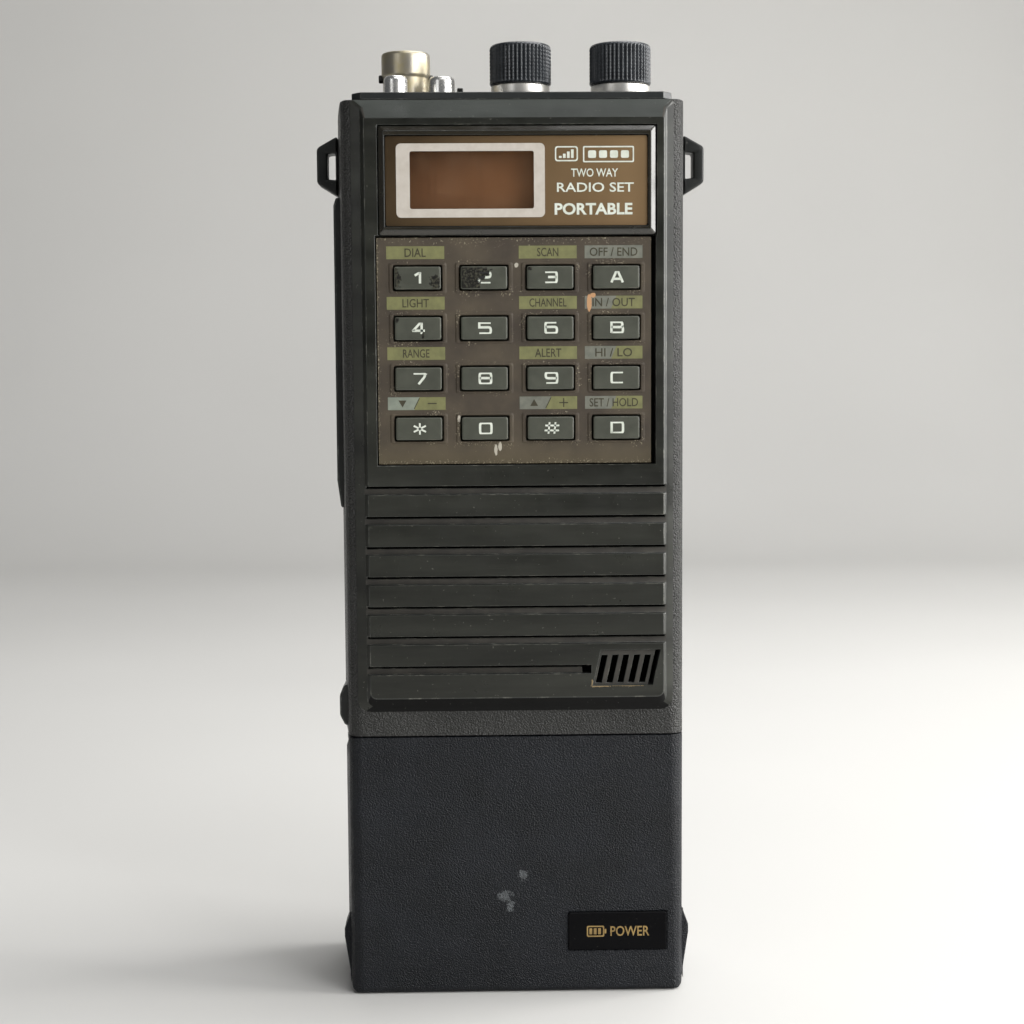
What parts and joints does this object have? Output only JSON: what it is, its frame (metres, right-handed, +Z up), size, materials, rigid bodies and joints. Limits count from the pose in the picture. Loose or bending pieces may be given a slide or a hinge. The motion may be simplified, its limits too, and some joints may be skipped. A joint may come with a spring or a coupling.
{
  "type": "handheld two-way radio",
  "caption": "Handheld two-way radio: display and keypad over a slatted speaker front, knobs, jacks and antenna socket on top, side talk bar, strap lugs and a slide-off battery.",
  "frame": {"origin": "centre of the overall box in plan, on the underside of the battery pack", "axes": "+Z up along the radio's length, -Y out of the front panel, +X to the right seen from the front"},
  "size_m": [0.0756, 0.0349, 0.1842],
  "materials": {
    "case": "fine leather-grain texture on the skin, smooth raised panel",
    "trim": "smooth, slightly worn",
    "metal": "plain",
    "screws": "blackened",
    "window": "smoked, printed from behind",
    "lcd": "reflective, copper brown",
    "keypad_plate": "matt, worn at the edges",
    "keys": "satin with printed marks",
    "rubber": "moulded",
    "chassis": "die-cast",
    "board": "varnished board",
    "cone": "paper",
    "inner_plastic": "moulded",
    "contacts": "gold plated",
    "plated": "nickel plated, aged",
    "insulator": "moulded",
    "collars": "turned",
    "knobs": "knurled",
    "battery": "coarse leather-grain texture",
    "cells": "sleeved cells with nickel straps",
    "label": "gloss with printed marks"
  },
  "bodies": {
    "housing": {"front_case": "case", "rear_case": "case", "top_panel": "trim", "rail_plate": "metal", "strap_lug_left": "trim", "strap_lug_right": "trim", "case_screw_upper_left": "screws", "case_screw_upper_right": "screws", "case_screw_lower_left": "screws", "case_screw_lower_right": "screws", "display_bezel": "trim", "display_window": "window", "lcd_panel": "lcd", "keypad_plate": "keypad_plate", "keypad_mat": "rubber", "chassis_frame": "chassis", "logic_board": "board", "rf_board": "board", "speaker_frame": "metal", "speaker_cone": "cone", "mic_capsule": "metal", "ptt_switch": "inner_plastic", "contact_positive": "contacts", "contact_negative": "contacts", "antenna_socket": "plated", "antenna_insulator": "insulator", "microphone_jack": "plated", "earphone_jack": "plated", "volume_potentiometer": "metal", "squelch_potentiometer": "metal"},
    "key_1": {"key_1": "keys"},
    "key_2": {"key_2": "keys"},
    "key_3": {"key_3": "keys"},
    "key_a": {"key_a": "keys"},
    "key_4": {"key_4": "keys"},
    "key_5": {"key_5": "keys"},
    "key_6": {"key_6": "keys"},
    "key_b": {"key_b": "keys"},
    "key_7": {"key_7": "keys"},
    "key_8": {"key_8": "keys"},
    "key_9": {"key_9": "keys"},
    "key_c": {"key_c": "keys"},
    "key_star": {"key_star": "keys"},
    "key_0": {"key_0": "keys"},
    "key_hash": {"key_hash": "keys"},
    "key_d": {"key_d": "keys"},
    "volume_control": {"volume_knob": "knobs", "volume_collar": "collars", "volume_shaft": "metal"},
    "squelch_control": {"squelch_knob": "knobs", "squelch_collar": "collars", "squelch_shaft": "metal"},
    "level_switch": {"power_level_switch": "trim"},
    "ptt": {"ptt_button": "trim"},
    "release": {"battery_release_button": "trim"},
    "battery": {"battery_case": "battery", "battery_cover": "battery", "cell_row_front": "cells", "cell_row_rear": "cells", "battery_label": "label"}
  },
  "joints": [
    {"name": "key_1_press", "type": "slide", "parent": "housing", "child": "key_1", "axis": [0, 1, 0], "range_m": [0, 0.0008], "stiffness_N_per_m": 800},
    {"name": "key_2_press", "type": "slide", "parent": "housing", "child": "key_2", "axis": [0, 1, 0], "range_m": [0, 0.0008], "stiffness_N_per_m": 800},
    {"name": "key_3_press", "type": "slide", "parent": "housing", "child": "key_3", "axis": [0, 1, 0], "range_m": [0, 0.0008], "stiffness_N_per_m": 800},
    {"name": "key_a_press", "type": "slide", "parent": "housing", "child": "key_a", "axis": [0, 1, 0], "range_m": [0, 0.0008], "stiffness_N_per_m": 800},
    {"name": "key_4_press", "type": "slide", "parent": "housing", "child": "key_4", "axis": [0, 1, 0], "range_m": [0, 0.0008], "stiffness_N_per_m": 800},
    {"name": "key_5_press", "type": "slide", "parent": "housing", "child": "key_5", "axis": [0, 1, 0], "range_m": [0, 0.0008], "stiffness_N_per_m": 800},
    {"name": "key_6_press", "type": "slide", "parent": "housing", "child": "key_6", "axis": [0, 1, 0], "range_m": [0, 0.0008], "stiffness_N_per_m": 800},
    {"name": "key_b_press", "type": "slide", "parent": "housing", "child": "key_b", "axis": [0, 1, 0], "range_m": [0, 0.0008], "stiffness_N_per_m": 800},
    {"name": "key_7_press", "type": "slide", "parent": "housing", "child": "key_7", "axis": [0, 1, 0], "range_m": [0, 0.0008], "stiffness_N_per_m": 800},
    {"name": "key_8_press", "type": "slide", "parent": "housing", "child": "key_8", "axis": [0, 1, 0], "range_m": [0, 0.0008], "stiffness_N_per_m": 800},
    {"name": "key_9_press", "type": "slide", "parent": "housing", "child": "key_9", "axis": [0, 1, 0], "range_m": [0, 0.0008], "stiffness_N_per_m": 800},
    {"name": "key_c_press", "type": "slide", "parent": "housing", "child": "key_c", "axis": [0, 1, 0], "range_m": [0, 0.0008], "stiffness_N_per_m": 800},
    {"name": "key_star_press", "type": "slide", "parent": "housing", "child": "key_star", "axis": [0, 1, 0], "range_m": [0, 0.0008], "stiffness_N_per_m": 800},
    {"name": "key_0_press", "type": "slide", "parent": "housing", "child": "key_0", "axis": [0, 1, 0], "range_m": [0, 0.0008], "stiffness_N_per_m": 800},
    {"name": "key_hash_press", "type": "slide", "parent": "housing", "child": "key_hash", "axis": [0, 1, 0], "range_m": [0, 0.0008], "stiffness_N_per_m": 800},
    {"name": "key_d_press", "type": "slide", "parent": "housing", "child": "key_d", "axis": [0, 1, 0], "range_m": [0, 0.0008], "stiffness_N_per_m": 800},
    {"name": "volume_turn", "type": "hinge", "parent": "housing", "child": "volume_control", "pos_m": [0.002, 0, 0.18], "axis": [0, 0, 1], "range_deg": [-300, 0]},
    {"name": "squelch_turn", "type": "hinge", "parent": "housing", "child": "squelch_control", "pos_m": [0.0215, 0, 0.18], "axis": [0, 0, 1], "range_deg": [-300, 0]},
    {"name": "level_switch_slide", "type": "slide", "parent": "housing", "child": "level_switch", "axis": [1, 0, 0], "range_m": [0, 0.003]},
    {"name": "ptt_press", "type": "hinge", "parent": "housing", "child": "ptt", "pos_m": [-0.0315, 0.0005, 0.152], "axis": [0, -1, 0], "range_deg": [0, 1.2], "stiffness_Nm_per_rad": 6},
    {"name": "release_press", "type": "slide", "parent": "housing", "child": "release", "axis": [1, 0, 0], "range_m": [0, 0.0012], "stiffness_N_per_m": 2000},
    {"name": "battery_slide", "type": "slide", "parent": "housing", "child": "battery", "axis": [1, 0, 0], "range_m": [0, 0.068]}
  ]
}
